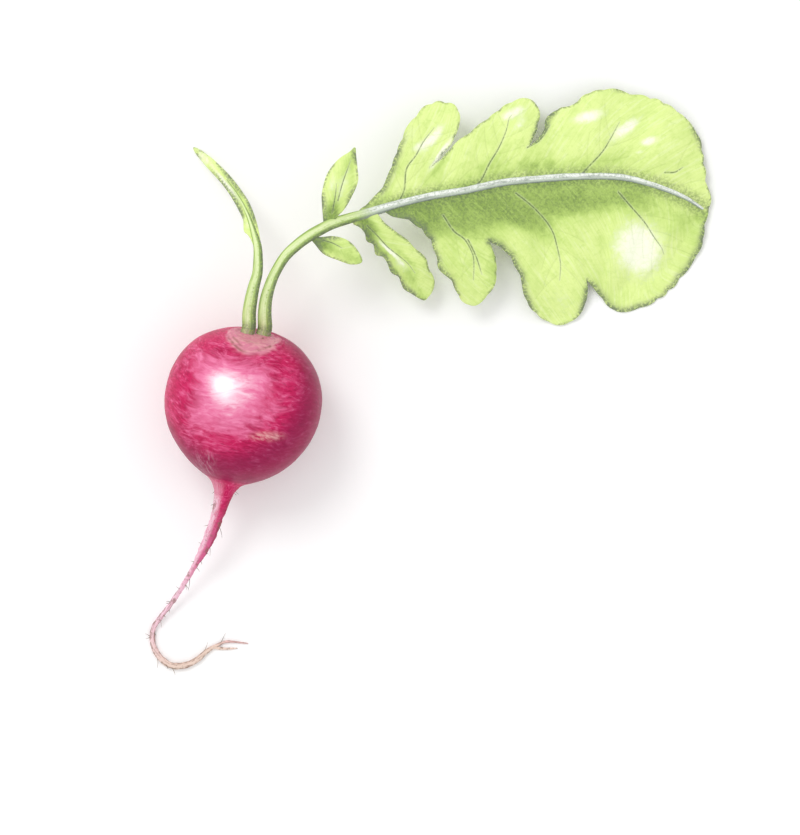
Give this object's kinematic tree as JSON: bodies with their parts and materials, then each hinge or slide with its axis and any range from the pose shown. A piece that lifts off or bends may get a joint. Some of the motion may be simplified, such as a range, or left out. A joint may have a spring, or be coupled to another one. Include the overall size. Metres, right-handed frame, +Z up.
{
  "type": "radish",
  "caption": "Round red garden radish as picked, lying on its side, with its hooked taproot, one big lobed leaf and one narrow young leaf.",
  "frame": {"origin": "on the small flat spot under the bulb, at the level of the surface that the radish lies on", "axes": "+Z up from the surface, +Y from the bulb towards the leaf stalks, +X towards the lobed leaf"},
  "size_m": [0.1298, 0.1328, 0.0351],
  "materials": {
    "radish_skin": "satin",
    "leaf": "satin",
    "young_leaf": "satin"
  },
  "bodies": {
    "root": {"swollen_root": "radish_skin", "lobed_leaf": "leaf", "narrow_leaf": "young_leaf"}
  },
  "joints": []
}
